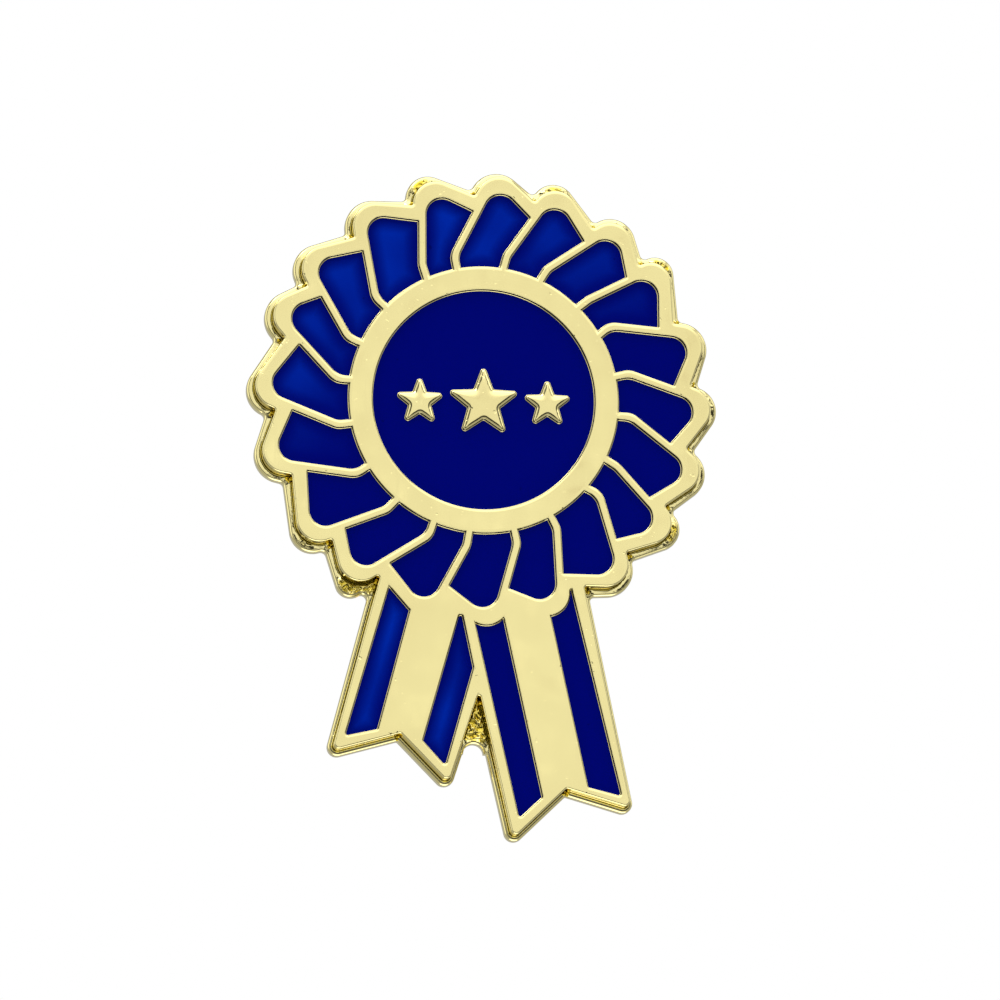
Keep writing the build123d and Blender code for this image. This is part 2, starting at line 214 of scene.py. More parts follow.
def inside(loops, places):
    """Whether each place is inside an odd number of the loops."""
    starts = np.concatenate(loops)
    ends = np.concatenate([np.roll(loop, -1, 0) for loop in loops])
    result = np.zeros(len(places), bool)
    for low in range(0, len(places), 2000):
        x, z = (c[:, None] for c in places[low:low + 2000].T)
        spans = (starts[:, 1] > z) != (ends[:, 1] > z)
        rise = np.where(ends[:, 1] == starts[:, 1], 1, ends[:, 1] - starts[:, 1])
        cross = starts[:, 0] + (z - starts[:, 1]) * (ends[:, 0] - starts[:, 0]) / rise
        result[low:low + 2000] = (spans & (x < cross)).sum(1) % 2 == 1
    return result


def gap_to(loops, places):
    """Distance from each place to the nearest loop."""
    starts = np.concatenate(loops)
    runs = np.concatenate([np.roll(loop, -1, 0) for loop in loops]) - starts
    square = np.maximum((runs ** 2).sum(1), 1e-12)
    result = np.empty(len(places))
    for low in range(0, len(places), 1500):
        away = places[low:low + 1500, None, :] - starts
        share = np.clip((away * runs).sum(2) / square, 0, 1)
        result[low:low + 1500] = np.sqrt(((away - share[..., None] * runs) ** 2).sum(2).min(1))
    return result


def grid(loops, spacing):
    """Staggered grid of places over the loops' box."""
    low, high = np.min([l.min(0) for l in loops], 0), np.max([l.max(0) for l in loops], 0)
    rows = []
    for k, z in enumerate(np.arange(low[1], high[1], spacing * 0.866)):
        x = np.arange(low[0] + (k % 2) * spacing / 2, high[0], spacing)
        rows.append(np.stack((x, np.full(len(x), z)), 1))
    return np.concatenate(rows)


def near_to(loops, places, size):
    """The places that lie within about this distance of the loops' points."""
    low = places.min(0) - 2 * size
    marks = np.zeros(tuple(((places.max(0) - low) / size).astype(int) + 4), bool)
    for loop in loops:
        across, up = np.floor((loop - low) / size).astype(int).T
        for i in (-1, 0, 1):
            for j in (-1, 0, 1):
                column = np.clip(across + i, 0, marks.shape[0] - 1)
                marks[column, np.clip(up + j, 0, marks.shape[1] - 1)] = True
    across, up = np.floor((places - low) / size).astype(int).T
    return places[marks[across, up]]


# ======================================================================================================
# Skins: closed meshes made of rings, strips and fills
# ======================================================================================================

class Skin:
    """Points, shading normals, painted shade and faces of a mesh that is being made, in millimetres."""

    def __init__(self):
        # Per point: how far its colour is darkened as painted shade, from 0 to 1.
        self.points, self.normals, self.tarnish, self.faces = [], [], [], []

    def add(self, places, heights, normals, tarnish=0.0):
        first = len(self.points)
        for (x, z), y, normal in zip(places, heights, normals):
            self.points.append((x, y, z))
            self.normals.append(tuple(normal))
        self.tarnish += list(np.zeros(len(places)) + tarnish)
        return np.arange(first, len(self.points))

    def ring(self, outline, offset, height, tilt, tarnish=0.0):
        """The outline moved by offset, at a height. Its normals turn from the front at a tilt of 0 to the
        wall's open side at 90 and to the back at 180 degrees."""
        lean, face = math.sin(math.radians(tilt)), -math.cos(math.radians(tilt))
        normals = np.stack((outline.normals[:, 0] * lean, np.full(len(outline.points), face),
                            outline.normals[:, 1] * lean), 1)
        return self.add(outline.moved(offset), np.full(len(outline.points), height), normals, tarnish)

    def strip(self, first, second):
        """Quads between two rings of one outline."""
        for a, b, c, d in zip(first, np.roll(first, -1), np.roll(second, -1), second):
            self.faces.append((a, b, c, d))

    def profile(self, outline, steps):
        """Rings at (offset, height, tilt) steps, some with their painted shade, joined by strips. Gives the
        first and last ring."""
        rings = [self.ring(outline, *step) for step in steps]
        for first, second in zip(rings, rings[1:]):
            self.strip(first, second)
        return rings[0], rings[-1]

    def fill(self, rings, places=(), height=None, front=True):
        """Triangles between rings, through more places whose height and normals come from a function."""
        edge = np.concatenate(rings)
        flat = [(self.points[i][0], self.points[i][2]) for i in edge]
        links, first = [], 0
        for ring in rings:
            links += [(first + k, first + (k + 1) % len(ring)) for k in range(len(ring))]
            first += len(ring)
        added = self.add(places, *height(places)) if len(places) else np.array([], int)
        index = np.concatenate((edge, added))
        flat += [tuple(p) for p in places]
        made = delaunay_2d_cdt([Vector(p) for p in flat], links, [], 0, 1e-7)
        spots, triangles, sources = np.array([tuple(v) for v in made[0]]), np.array(made[2]), made[3]
        loops = [np.array([(self.points[i][0], self.points[i][2]) for i in ring]) for ring in rings]
        index = [index[source[0]] if source else None for source in sources]
        for v in [v for v, i in enumerate(index) if i is None]:
            near = edge[np.hypot(*(np.array(flat[:len(edge)]) - spots[v]).T).argmin()]
            index[v] = self.add([spots[v]], [self.points[near][1]], [(0, 0, 0)])[0]
        kept = triangles[inside(loops, spots[triangles].mean(1))]
        for triangle in kept:
            ids = [index[v] for v in triangle]
            self.faces.append(tuple(ids if front else ids[::-1]))

    def piece(self, name, material, body, slot, *nodes):
        """The finished object, riding on its body in place of its CAD nodes."""
        mesh = bpy.data.meshes.new(name)
        mesh.from_pydata([Vector(p) * MM for p in self.points], [], [tuple(map(int, f)) for f in self.faces])
        mesh.shade_smooth()
        mesh.validate()
        mesh.normals_split_custom_set_from_vertices(self.normals)
        mesh.materials.append(material)
        # The painted shade goes to the material as a point attribute.
        mesh.attributes.new("tarnish", "FLOAT", "POINT").data.foreach_set("value", self.tarnish)
        made = bpy.data.objects.new(name, mesh)
        bpy.context.scene.collection.objects.link(made)
        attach(made, body)
        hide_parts(*nodes)
        return made


def rounding(radius, height, first=0, last=90, steps=6, inset=0.0):
    """Quarter-round steps over an edge whose corner is at offset inset and at a height, going outwards and
    to the back, from the tilt first to the tilt last."""
    steps_out = []
    for k in range(steps + 1):
        tilt = first + (last - first) * k / steps
        a = math.radians(tilt)
        out, down = inset - radius + radius * math.sin(a), height + radius - radius * math.cos(a)
        steps_out.append((out, down, tilt))
    return steps_out


# ======================================================================================================
# Struck badge
# ======================================================================================================

def pillowed(radius, height, first, last, inset=0.0):
    """Steps over the edge of the polished face: a slow rounding and then a small one."""
    edge = rounding(radius, height, PILLOW_TILT, last, inset=inset)
    slow = rounding(PILLOW_R, 0, first, PILLOW_TILT, 5)
    across, down = edge[0][0] - slow[-1][0], slow[-1][1] - slow[0][1]
    slow = [(offset + across, height + y - slow[0][1], tilt) for offset, y, tilt in slow[:-1]]
    return slow + [(offset, y + down - edge[0][1] + height, tilt) for offset, y, tilt in edge]


def cell_wall(edge):
    """Steps down a cell's wall from the steps over its edge: a steep lean and a hollow foot, whose end lies
    under the glaze. The steep wall and the top of its foot are painted dark as shade."""
    # Painted shade on the steep wall and the top of its foot.
    steps = edge[:-1] + [edge[-1] + (WALL_SHADE,)]
    for tilt in range(CELL_TILT, 10, -13):
        turn = math.radians(CELL_TILT), math.radians(tilt)
        across = CELL_ROOT_R * (math.sin(turn[0]) - math.sin(turn[1]))
        down = CELL_ROOT_R * (math.cos(turn[1]) - math.cos(turn[0]))
        steps.append((across, FACE_Y + CELL_ROOT + down, tilt, WALL_SHADE if tilt > 70 else 0.0))
    return steps + [(0, FLOOR_Y, 90)]


def grain(x, z):
    """Rough grains between 0 and 1: tilted crystal facets over a finer noise. Blender seeds noise_vector from
    the clock, so the grains differ from run to run."""
    place = Vector((x, z, 0.3)) * GRAIN_SCALE
    seed = noise.voronoi(place)[1][0]
    tilt = noise.noise_vector(seed * 7.7)
    facet = 0.45 + 0.35 * noise.noise(seed * 3.3) + 0.9 * tilt.dot(place - seed)
    return min(1.0, max(0.0, facet)) * 0.85 + 0.15 * abs(noise.noise(place * 3.0))


def crumb_heights(places, wall, rim, ledge):
    """Heights of the flange's rough ledge: grains stand where it is wide, and it is smooth at its edges. The
    lows between its grains are painted darker as shade.
    """
    inner, outer = gap_to([wall], places), gap_to([rim], places)
    width = np.clip((inner + outer - CRUMB_FROM) / CRUMB_FADE, 0, 1)
    room = np.clip(np.minimum(inner, outer) / CRUMB_MARGIN, 0, 1)
    rough = np.array([grain(x, z) for x, z in places])
    slope = FLANGE_FALL * inner / (inner + outer)
    # Painted shade in the lows between the grains.
    shade_amount = CRUMB_SHADE * width ** 2 * np.clip(room * 1.5, 0, 1) * (1 - rough)
    return ledge + slope - CRUMB_H * rough * width ** 1.5 * room, np.zeros((len(places), 3)), shade_amount


def dome_heights(places, edge):
    """Heights of a star's puffy top, which falls towards its edge."""
    gap = gap_to([edge], places)
    return FACE_Y + STAR_DOME * np.exp(-gap / STAR_FALL), np.zeros((len(places), 3))


def add_burr(skin, centre, radius, seed):
    """A small closed crystal: a ball of eighteen corners, each pushed in or out."""
    corners, rows = [], ((0.0, 1), (55.0, 5), (105.0, 6), (150.0, 5), (180.0, 1))
    for k, (fall, count) in enumerate(rows):
        for j in range(count):
            turn = 2 * math.pi * (j + 0.5 * (k % 2)) / count
            way = Vector((math.sin(math.radians(fall)) * math.cos(turn), -math.cos(math.radians(fall)),
                          math.sin(math.radians(fall)) * math.sin(turn)))
            push = 1 + 0.45 * noise.noise(way * 2.1 + Vector((seed, 2 * seed, 0)))
            corners.append(Vector(centre) + way * radius * push)
    hull = bmesh.new()
    for corner in corners:
        hull.verts.new(corner)
    bmesh.ops.convex_hull(hull, input=hull.verts)
    hull.verts.index_update()
    used = {v.index for f in hull.faces for v in f.verts}
    index = dict(zip(sorted(used), range(len(skin.points), len(skin.points) + len(used))))
    hull.verts.ensure_lookup_table()
    for i in sorted(used):
        skin.points.append(tuple(hull.verts[i].co))
        skin.normals.append((0, 0, 0))
        # The burrs are coloured a darker amber on the painted-shade scale.
        skin.tarnish.append(BURR_AMBER)
    for face in hull.faces:
        skin.faces.append(tuple(index[v.index] for v in face.verts))
    hull.free()


def add_notch_burrs(skin, wall, ledge):
    """Trimming burrs wedged in every inward corner of the raised face's wall. They differ from run to run, as
    the grains do."""
    steps = wrapped(np.roll(np.unwrap(wall.heading), -1) - wall.heading)
    inward = steps > math.radians(1.5)
    centres = []
    for k in np.nonzero(inward & ~np.roll(inward, 1))[0]:
        run = [k]
        while inward[(run[-1] + 1) % len(inward)]:
            run.append((run[-1] + 1) % len(inward))
        middle = run[len(run) // 2]
        centres.append(wall.points[middle] + wall.normals[middle] * BURR_OUT)
    for n, centre in enumerate(centres):
        for j in range(BURRS):
            drift = noise.noise_vector(Vector((n * 1.7, j * 2.3, 0.5)))
            place = (centre[0] + BURR_SPREAD * drift.x, ledge - 0.10 + 0.30 * drift.z,
                     centre[1] + BURR_SPREAD * drift.y)
            add_burr(skin, place, BURR_R * (0.8 + 0.5 * abs(drift.x)), n * 3.1 + j * 0.77)


def wall_steps(ledge_y):
    """Steps from the polished face down the outer wall and into the fillet on the ledge, which is painted
    dark as shade.
    """
    # The lower wall and the fillet at its foot get painted shade.
    steps = pillowed(SHOULDER_R, FACE_Y, 0, 90) + [(0, ledge_y - WALL_UNSHADED, 90, 0.1)]
    for k, turn in enumerate((0, 25, 50)):
        a = math.radians(turn)
        out, down = ROOT_R - ROOT_R * math.cos(a), ledge_y - ROOT_R + ROOT_R * math.sin(a)
        steps.append((out, down, 90 - turn, WALL_SHADE * 0.8 ** k))
    return steps


def add_star(skin, star):
    """A raised star with a puffy top."""
    steps = cell_wall(rounding(LINE_R, FACE_Y + STAR_DOME, 30, CELL_TILT, inset=-CELL_DRAFT))
    top = skin.profile(star, steps)[0]
    edge = star.moved(steps[0][0])
    places = grid([edge], CRUMB_GRID)
    places = places[inside([edge], places)]
    places = places[gap_to([edge], places) > CRUMB_GRID * 0.5]
    skin.fill([top], places, lambda p: dome_heights(p, edge))


def add_face(skin, face_ring, groups):
    """The polished face, the walls of its cells with any stars in them, and the cells' floors."""
    face_rings = [face_ring]
    for group in groups:
        steps = cell_wall(pillowed(LINE_R, FACE_Y, 0, CELL_TILT, -CELL_DRAFT))
        face_rings.append(skin.profile(group[0], steps)[0])
        for star in group[1:]:
            add_star(skin, star)
    skin.fill(face_rings)
    for group in groups:
        skin.fill([skin.ring(cell, 0, FLOOR_Y, 0) for cell in group])


def add_ledge(skin, rim, wall_foot, wall_line, ledge_y):
    """The flange's rough ledge and its rounded edge. Gives the ring at the back."""
    back = []
    for tilt in range(90, 181, 15):
        a = math.radians(tilt)
        back.append((-FLANGE_R + FLANGE_R * math.sin(a), BACK_Y - FLANGE_R - FLANGE_R * math.cos(a), tilt))
    brow = rounding(FLANGE_R, ledge_y + FLANGE_FALL, FLANGE_TILT)
    ledge_ring, back_ring = skin.profile(rim, brow + back)
    rim_line = rim.moved(brow[0][0])
    places = near_to([rim_line, wall_line], grid([rim_line], CRUMB_GRID), LEDGE_REACH)
    places = places[inside([rim_line, wall_line], places)]
    clear = np.minimum(gap_to([wall_line], places), gap_to([rim_line], places)) > CRUMB_GRID * 0.4
    places = places[clear]
    skin.fill([wall_foot, ledge_ring], places, lambda p: crumb_heights(p, wall_line, rim_line, ledge_y))
    return back_ring


def add_back(skin, back_ring, seats):
    """The flat back with the posts' seats."""
    back_rings = [back_ring]
    for seat in seats:
        steps = [(-SEAT_R, BACK_Y, 180), (-SEAT_R * 0.3, BACK_Y - SEAT_R * 0.3, 135),
                 (0, BACK_Y - SEAT_R, 90), (0, SEAT_Y, 90)]
        back_rings.append(skin.profile(seat, steps)[0])
        skin.fill([skin.ring(seat, 0, SEAT_Y, 180)], front=False)
    skin.fill(back_rings, front=False)


def make_badge(material):
    """The one-piece metal body, with its raised face, cells, rough flange, back and post seats."""
    levels = sorted({round(v.co.y / MM, 3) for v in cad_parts["struck_body"].data.vertices})
    lip_y = max(y for y in levels if y < FLOOR_Y - 0.01)
    ledge_y = min(y for y in levels if y > FLOOR_Y + 0.01)
    wall = Outline(max(wall_chains("struck_body", lip_y, ledge_y), key=len))
    rim = Outline(max(wall_chains("struck_body", ledge_y, BACK_Y), key=len))
    cells = [Outline(c) for c in wall_chains("struck_body", FACE_Y, FLOOR_Y)]
    seats = [Outline(c) for c in wall_chains("struck_body", BACK_Y, SEAT_Y)]
    skin = Skin()
    steps = wall_steps(ledge_y)
    face_ring, wall_foot = skin.profile(wall, steps)
    add_face(skin, face_ring, glazed_cells(cells))
    back_ring = add_ledge(skin, rim, wall_foot, wall.moved(steps[-1][0]), ledge_y)
    add_back(skin, back_ring, seats)
    add_notch_burrs(skin, wall, ledge_y)
    return skin.piece("badge", material, "badge", "gold_plating", "struck_body")


# ======================================================================================================
# Glaze
# ======================================================================================================

def glazed_cells(cells):
    """The cells' outlines in groups: each group is one glaze, with the raised stars inside it."""
    by_area = sorted(cells, key=lambda c: -c.area())
    groups = []
    for cell in by_area:
        home = [g for g in groups if g[0].holds(cell.points[:1])[0]]
        if home:
            home[0].append(cell)
        else:
            groups.append([cell])
    return groups


def glaze_height(places, loops, centre, reach):
    """Height of the glaze: it climbs the walls in a hollow curve and is slightly dished between them."""
    gap = gap_to(loops, places) - 2 * GLAZE_BITE
    bowl = ((places - centre) ** 2).sum(1) / reach ** 2
    climb = GLAZE_RISE * np.exp(-np.maximum(gap, 0) / GLAZE_CLIMB)
    return FILL_Y + GLAZE_DROP - climb + GLAZE_DISH * (0.4 - bowl)


def glaze_surface(places, loops, centre, reach):
    """Heights and shading normals of the glaze at these places."""
    step = 0.004
    height = glaze_height(places, loops, centre, reach)
    slopes = []
    for shift in ((step, 0), (0, step)):
        ahead = glaze_height(places + shift, loops, centre, reach)
        behind = glaze_height(places - shift, loops, centre, reach)
        slopes.append((ahead - behind) / (2 * step))
    normals = np.stack((slopes[0], -np.ones(len(places)), slopes[1]), 1)
    return height, normals / np.linalg.norm(normals, axis=1)[:, None]


def make_glaze(node, group, material):
    """One cell's glaze: a closed skin with a hollow top, upright sides and a flat bottom."""
    outer = group[0]
    centre = outer.points.mean(0)
    reach = np.abs(outer.points - centre).max()
    loops = [cell.moved(-3 * GLAZE_BITE) for cell in group]
    edges = [cell.moved(-GLAZE_BITE) for cell in group]

    def surface(places):
        return glaze_surface(places, loops, centre, reach)

    skin = Skin()
    tops, feet = [], []
    for cell, edge in zip(group, edges):
        tops.append(skin.add(edge, *surface(edge)))
        low = skin.ring(cell, -GLAZE_BITE, FLOOR_Y, 90)
        high = skin.add(edge, surface(edge)[0], np.stack((-cell.normals[:, 0], 0 * cell.normals[:, 0],
                                                          -cell.normals[:, 1]), 1))
        skin.strip(low, high)
        feet.append(skin.ring(cell, -GLAZE_BITE, FLOOR_Y, 180))
    near = []
    for gap in GLAZE_RINGS:
        for cell in group:
            ring = cell.moved(gap)
            near.append(ring[gap_to(edges, ring) > 0.93 * (gap + GLAZE_BITE)])
    places = grid([outer.points], GLAZE_GRID)
    places = places[gap_to(edges, places) > GLAZE_RINGS[-1] + 0.6 * GLAZE_GRID]
    places = np.concatenate(near + [places])
    places = places[inside(edges, places)]
    skin.fill(tops, places, surface)
    skin.fill(feet, front=False)
    made = skin.piece(node.replace("enamel", "glaze"), material, "badge", "blue_enamel", node)
    # Painted reflection: a point attribute makes the glaze paler blue in the middle of its cell, most towards
    # the badge's upper left.
    spots = np.array([(p[0], p[2]) for p in skin.points])
    tail = "stripe" in node
    sheen_fade = np.clip(gap_to(loops, spots) / SHEEN_REACH, 0, 1) ** SHEEN_FALL
    painted_sheen = sheen_fade * np.array([sheen_share(*p, tail) for p in spots])
    made.data.attributes.new("painted_sheen", "FLOAT", "POINT").data.foreach_set("value", painted_sheen.astype(np.float32))
    return made


def sheen_share(x, z, tail):
    """Share of painted sheen, a paler blue that stands in for a reflection, in the middle of a cell: most in
    the badge's upper left and along the left tail, and not at all in the centre disc."""
    if math.hypot(x, z) < SHEEN_FREE_RADIUS:
        return 0.0
    lean = 0.02 - 0.035 * x + 0.080 * z
    if tail:
        lean = 0.1 - 0.3 * x
    return min(1.0, max(0.0, lean)) * (0.75 + 0.5 * noise.noise(Vector((x * 0.5, z * 0.5, 2.0))))


def make_glazes(material):
    """Every glaze, matched to the CAD node that lies in its cell."""
    cells = [Outline(c) for c in wall_chains("struck_body", FACE_Y, FLOOR_Y)]
    groups = glazed_cells(cells)
    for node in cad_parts:
        if not node.startswith("enamel"):
            continue
        low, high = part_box(node)
        middle = np.array(((low.x + high.x) / 2, (low.z + high.z) / 2)) / MM
        sizes = np.array((high.x - low.x, high.z - low.z)) / MM

        def misfit(group):
            lows, highs = group[0].points.min(0), group[0].points.max(0)
            return np.abs((lows + highs) / 2 - middle).sum() + np.abs(highs - lows - sizes).sum()

        make_glaze(node, min(groups, key=misfit), material)


# ======================================================================================================
# Materials
# ======================================================================================================

class Nodes:
    """A short way to add and link shader nodes."""

    def __init__(self, tree):
        self.tree = tree
        tree.nodes.clear()

    def add(self, kind, settings=None, **inputs):
        node = self.tree.nodes.new(kind)
        for key, value in (settings or {}).items():
            setattr(node, key, value)
        for key, value in inputs.items():
            socket = node.inputs[int(key[1:])] if key[0] == "i" and key[1:].isdigit() else \
                node.inputs[key.replace("_", " ")]
            if isinstance(value, bpy.types.NodeSocket):
                self.tree.links.new(value, socket)
            else:
                socket.default_value = value
        return node

    def noise(self, place, scale, detail=2.0, roughness=0.5):
        return self.add("ShaderNodeTexNoise", Vector=place, Scale=scale, Detail=detail,
                        Roughness=roughness).outputs["Fac"]

    def ramp(self, value, *stops, interpolation="LINEAR"):
        node = self.add("ShaderNodeValToRGB", Fac=value)
        node.color_ramp.interpolation = interpolation
        marks = node.color_ramp.elements
        while len(marks) < len(stops):
            marks.new(0.5)
        for mark, (position, colour) in zip(marks, stops):
            mark.position = position
            mark.color = (*colour, 1) if len(colour) == 3 else colour
        return node.outputs["Color"]

    def math(self, operation, *values, clamp=False):
        inputs = {f"i{k}": v for k, v in enumerate(values)}
        return self.add("ShaderNodeMath", {"operation": operation, "use_clamp": clamp}, **inputs).outputs[0]

    def mix(self, share, first, second):
        node = self.add("ShaderNodeMix", {"data_type": "RGBA"}, i0=share, i6=first, i7=second)
        return node.outputs[2]

    def bump(self, height, strength, distance, normal=None):
        node = self.add("ShaderNodeBump", Height=height, Strength=strength, Distance=distance)
        if normal is not None:
            self.tree.links.new(normal, node.inputs["Normal"])
        return node.outputs["Normal"]

    def surface(self, shader):
        self.add("ShaderNodeOutputMaterial", Surface=shader)


def new_material(name):
    material = bpy.data.materials.new(name)
    material.use_nodes = True
    return material, Nodes(material.node_tree)


def rgb(r, g, b):
    return (r, g, b, 1.0)


def plating(name, colour, worn, roughness=0.09, pits=0.3, blasted=False):
    """Polished plating: slow waves, fine hair scratches, a few pits and slightly duller patches. Painted
    shade turns it amber and then near black. The flat back can be sand blasted."""
    material, n = new_material(name)
    place = n.add("ShaderNodeTexCoord").outputs["Object"]
    tone = n.noise(place, 160, 3, 0.6)
    base = n.mix(n.ramp(tone, (0.38, (0, 0, 0)), (0.72, (1, 1, 1))), colour, worn)
    # Painted shade: the point attribute darkens the colour through amber to near black on walls, in corners
    # and between grains.
    shade_amount = n.add("ShaderNodeAttribute", {"attribute_name": "tarnish"}).outputs["Fac"]
    shaded_colour = n.ramp(shade_amount, (0.0, colour[:3]), (0.3, (0.66, 0.50, 0.04)), (0.6, (0.012, 0.008, 0.002)))
    base = n.mix(n.ramp(shade_amount, (0.0, (0, 0, 0)), (0.2, (1, 1, 1))), base, shaded_colour)
    haze = n.noise(place, 420, 4, 0.65)
    rough = n.add("ShaderNodeMapRange", Value=haze, From_Min=0.3, From_Max=0.75, To_Min=roughness * 0.6,
                  To_Max=roughness * 1.7).outputs[0]
    waves = n.bump(n.noise(place, 330, 1, 0.4), 0.10, 0.0006)
    stretched = n.add("ShaderNodeMapping", Vector=place, Rotation=(0, 0.5, 0), Scale=(9000, 9000, 500))
    hair = n.ramp(n.noise(stretched.outputs[0], 1, 2, 0.6), (0.64, (0, 0, 0)), (0.72, (1, 1, 1)))
    scratched = n.bump(hair, 0.05, 0.00002, waves)
    specks = n.ramp(n.noise(place, 4200, 1, 0.5), (0.72, (0, 0, 0)), (0.80, (1, 1, 1)))
    pitted = n.bump(n.math("MULTIPLY", specks, -1.0), pits, 0.00002, scratched)
    if blasted:
        depth = n.add("ShaderNodeSeparateXYZ", Vector=place).outputs["Y"]
        behind = n.add("ShaderNodeMapRange", Value=depth, From_Min=-0.0001, From_Max=-0.00002).outputs[0]
        stipple = n.math("MULTIPLY", n.noise(place, 2600, 3, 0.7), behind)
        pitted = n.bump(stipple, 0.55, 0.00005, pitted)
        rough = n.math("ADD", rough, n.math("MULTIPLY", behind, 0.14))
    shader = n.add("ShaderNodeBsdfPrincipled", Base_Color=base, Metallic=1.0, Roughness=rough, Normal=pitted)
    n.surface(shader.outputs[0])
    return material


def glaze_material():
    """Deep blue soft enamel: glossy, painted paler blue where a reflection falls in the cells' middles, with
    a little dust under the surface.
    """
    material, n = new_material("blue_glaze")
    place = n.add("ShaderNodeTexCoord").outputs["Object"]
    # Painted reflection: the sheen attribute mixes the deep blue towards a paler blue.
    painted_sheen = n.add("ShaderNodeAttribute", {"attribute_name": "painted_sheen"}).outputs["Fac"]
    base = n.mix(painted_sheen, rgb(0.0, 0.0, 0.115), rgb(0.0, 0.027, 0.42))
    dust = n.ramp(n.noise(place, 2600, 1, 0.5), (0.77, (0, 0, 0)), (0.80, (1, 1, 1)))
    base = n.mix(n.math("MULTIPLY", dust, 0.5), base, rgb(0.0, 0.0, 0.03))
    ripple = n.bump(n.noise(place, 520, 1, 0.4), 0.05, 0.0004)
    shader = n.add("ShaderNodeBsdfPrincipled", Base_Color=base, Roughness=0.10, IOR=1.5, Normal=ripple)
    shader.inputs["Specular Tint"].default_value = rgb(0.01, 0.05, 1.0)
    shader.inputs["Specular IOR Level"].default_value = 0.5
    n.surface(shader.outputs[0])
    return material


def solder_material():
    """Dull tin solder with a frosty, slightly lumpy surface."""
    material, n = new_material("tin_solder")
    place = n.add("ShaderNodeTexCoord").outputs["Object"]
    frost = n.noise(place, 1800, 4, 0.7)
    base = n.mix(frost, rgb(0.42, 0.42, 0.43), rgb(0.62, 0.61, 0.58))
    rough = n.add("ShaderNodeMapRange", Value=frost, To_Min=0.28, To_Max=0.5).outputs[0]
    lumps = n.bump(n.noise(place, 900, 3, 0.6), 0.5, 0.0001)
    shader = n.add("ShaderNodeBsdfPrincipled", Base_Color=base, Metallic=1.0, Roughness=rough, Normal=lumps)
    n.surface(shader.outputs[0])
    return material


def floor_material():
    material, n = new_material("pale_floor")
    place = n.add("ShaderNodeTexCoord").outputs["Object"]
    base = n.mix(n.noise(place, 3, 2, 0.5), rgb(0.80, 0.80, 0.80), rgb(0.84, 0.84, 0.84))
    shader = n.add("ShaderNodeBsdfPrincipled", Base_Color=base, Roughness=0.7)
    n.surface(shader.outputs[0])
    return material


# ======================================================================================================
# Camera, light and floor
# ======================================================================================================

VIEW_AZIMUTH = -6.5
VIEW_ELEVATION = -10.5
VIEW_DISTANCE = 0.42
FRAME_WIDTH = 0.0474         # what the picture takes in at the badge's face
SENSOR = 36.0
AIM_SHIFT = Vector((0.00075, 0, 0.00007))       # from the middle of the badge's box
FLOOR_DROP = 0.08            # floor below the lowest point
FLOOR_RADIUS = 3.0
FLOOR_SIDES = 96
# The studio's cards, each laid over those before it: azimuth, elevation, inner and outer angle, brightness.
CARDS = (
    (180, 50, 16, 30, 0.15),
    (0, -85, 26, 36, 2.2),
    (6, 10, 36, 46, 0.04),
    (-75, 15, 22, 34, 1.2),
    (85, 25, 20, 32, 1.0),
    (0, 66, 30, 36, 2.2),
    (6, 14, 23, 27, 1.0),
    (6, 38, 10, 25, 1.7),
    (6.4, 10.4, 0.2, 1.1, 1.14),
)
MOTTLED = ((4.7, 12.9, 0.5, 1.3), (8.2, 11.4, 0.3, 0.9))     # where the big card's light is uneven


def direction(azimuth, elevation):
    """Unit vector to a place round the object: azimuth 0 is in front of it and 90 is at its +X side."""
    a, e = math.radians(azimuth), math.radians(elevation)
    return Vector((math.sin(a) * math.cos(e), -math.cos(a) * math.cos(e), math.sin(e)))


def make_camera():
    """Camera a little to the left of the badge and below it, looking up at it."""
    low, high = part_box("struck_body")
    aim = (low + high) / 2 + AIM_SHIFT
    aim.y = low.y
    data = bpy.data.cameras.new("camera")
    data.sensor_width = SENSOR
    data.lens = SENSOR * VIEW_DISTANCE / FRAME_WIDTH
    data.clip_start, data.clip_end = 0.01, 50
    camera = bpy.data.objects.new("camera", data)
    bpy.context.scene.collection.objects.link(camera)
    back = direction(VIEW_AZIMUTH, VIEW_ELEVATION)
    camera.location = aim + back * VIEW_DISTANCE
    camera.rotation_euler = (-back).to_track_quat("-Z", "Y").to_euler()
    bpy.context.scene.camera = camera


def card(n, way, azimuth, elevation, inner, outer):
    """How much of a soft round card shows in the direction way: all inside inner, nothing past outer."""
    cosine = n.add("ShaderNodeVectorMath", {"operation": "DOT_PRODUCT"}, i0=way,
                   i1=direction(azimuth, elevation)).outputs["Value"]
    return n.add("ShaderNodeMapRange", {"interpolation_type": "SMOOTHSTEP"}, Value=cosine,
                 From_Min=math.cos(math.radians(outer)), From_Max=math.cos(math.radians(inner))).outputs[0]


def make_world():
    """Plain soft studio of round cards, dark round the middle of the front. The camera sees it as white."""
    world = bpy.data.worlds.new("studio")
    world.use_nodes = True
    bpy.context.scene.world = world
    n = Nodes(world.node_tree)
    way = n.add("ShaderNodeTexCoord").outputs["Generated"]
    light = rgb(0.5, 0.5, 0.5)
    for azimuth, elevation, inner, outer, value in CARDS:
        light = n.mix(card(n, way, azimuth, elevation, inner, outer), light, rgb(value, value, value))
    spots = n.ramp(n.noise(way, 210, 3, 0.6), (0.48, (0, 0, 0)), (0.53, (1, 1, 1)))
    edges = n.math("MAXIMUM", *(card(n, way, *spot) for spot in MOTTLED))
    light = n.mix(n.math("MULTIPLY", spots, edges), light, rgb(0.68, 0.60, 0.56))
    seen = n.add("ShaderNodeLightPath").outputs["Is Camera Ray"]
    light = n.mix(seen, light, rgb(1.0, 1.0, 1.0))
    back = n.add("ShaderNodeBackground", Color=light, Strength=1.0)
    n.add("ShaderNodeOutputWorld", Surface=back.outputs[0])


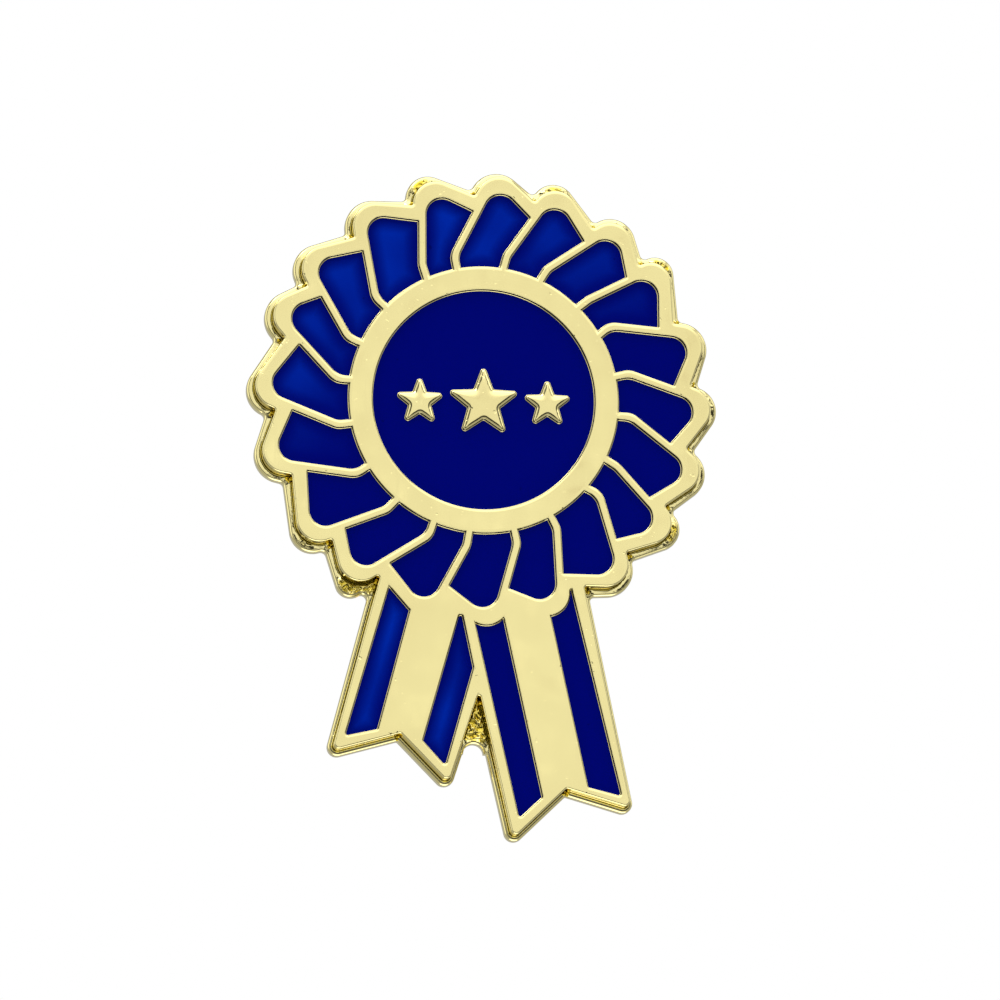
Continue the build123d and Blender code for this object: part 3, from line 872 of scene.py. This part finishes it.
def make_lamp(name, azimuth, elevation, distance, size, radiance):
    """Square area light that faces the badge, with the brightness that its face shows."""
    data = bpy.data.lights.new(name, "AREA")
    data.shape = "SQUARE"
    data.size = size
    data.energy = radiance * math.pi * size * size
    lamp = bpy.data.objects.new(name, data)
    bpy.context.scene.collection.objects.link(lamp)
    back = direction(azimuth, elevation)
    lamp.location = back * distance
    lamp.rotation_euler = (-back).to_track_quat("-Z", "Y").to_euler()


def make_floor(material):
    """Round floor well below the badge."""
    low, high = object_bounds()
    mesh = bpy.data.meshes.new("floor")
    turns = [2 * math.pi * k / FLOOR_SIDES for k in range(FLOOR_SIDES)]
    rim = [(FLOOR_RADIUS * math.cos(a), FLOOR_RADIUS * math.sin(a), 0) for a in turns]
    mesh.from_pydata(rim, [], [tuple(range(FLOOR_SIDES))])
    mesh.materials.append(material)
    floor = bpy.data.objects.new("floor", mesh)
    floor.location.z = low.z - FLOOR_DROP
    floor.visible_glossy = False
    bpy.context.scene.collection.objects.link(floor)
    floor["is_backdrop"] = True


# ======================================================================================================
# The scene
# ======================================================================================================

def dress(node, material):
    """Give a CAD node its material."""
    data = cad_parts[node].data
    data.materials.clear()
    data.materials.append(material)


gold = plating("pale_gold", rgb(0.87, 0.775, 0.36), rgb(0.82, 0.72, 0.33))
struck = plating("struck_gold", rgb(0.87, 0.775, 0.36), rgb(0.82, 0.72, 0.33), blasted=True)
brass = plating("clutch_brass", rgb(0.80, 0.62, 0.28), rgb(0.70, 0.52, 0.22), 0.16, 0.5)
glaze = glaze_material()
solder = solder_material()

make_camera()
make_world()
make_lamp("key", -35, 40, 0.5, 0.16, 3.0)
make_lamp("fill", 50, 30, 0.6, 0.20, 1.2)
make_floor(floor_material())
make_badge(struck)
make_glazes(glaze)
for end in ENDS:
    dress(f"{end}_post", gold)
    dress(f"{end}_solder", solder)
    for part in ("clutch_plate", "barrel", "wing_left", "wing_right"):
        dress(f"{end}_{part}", brass)

bpy.context.scene.view_settings.view_transform = "Standard"
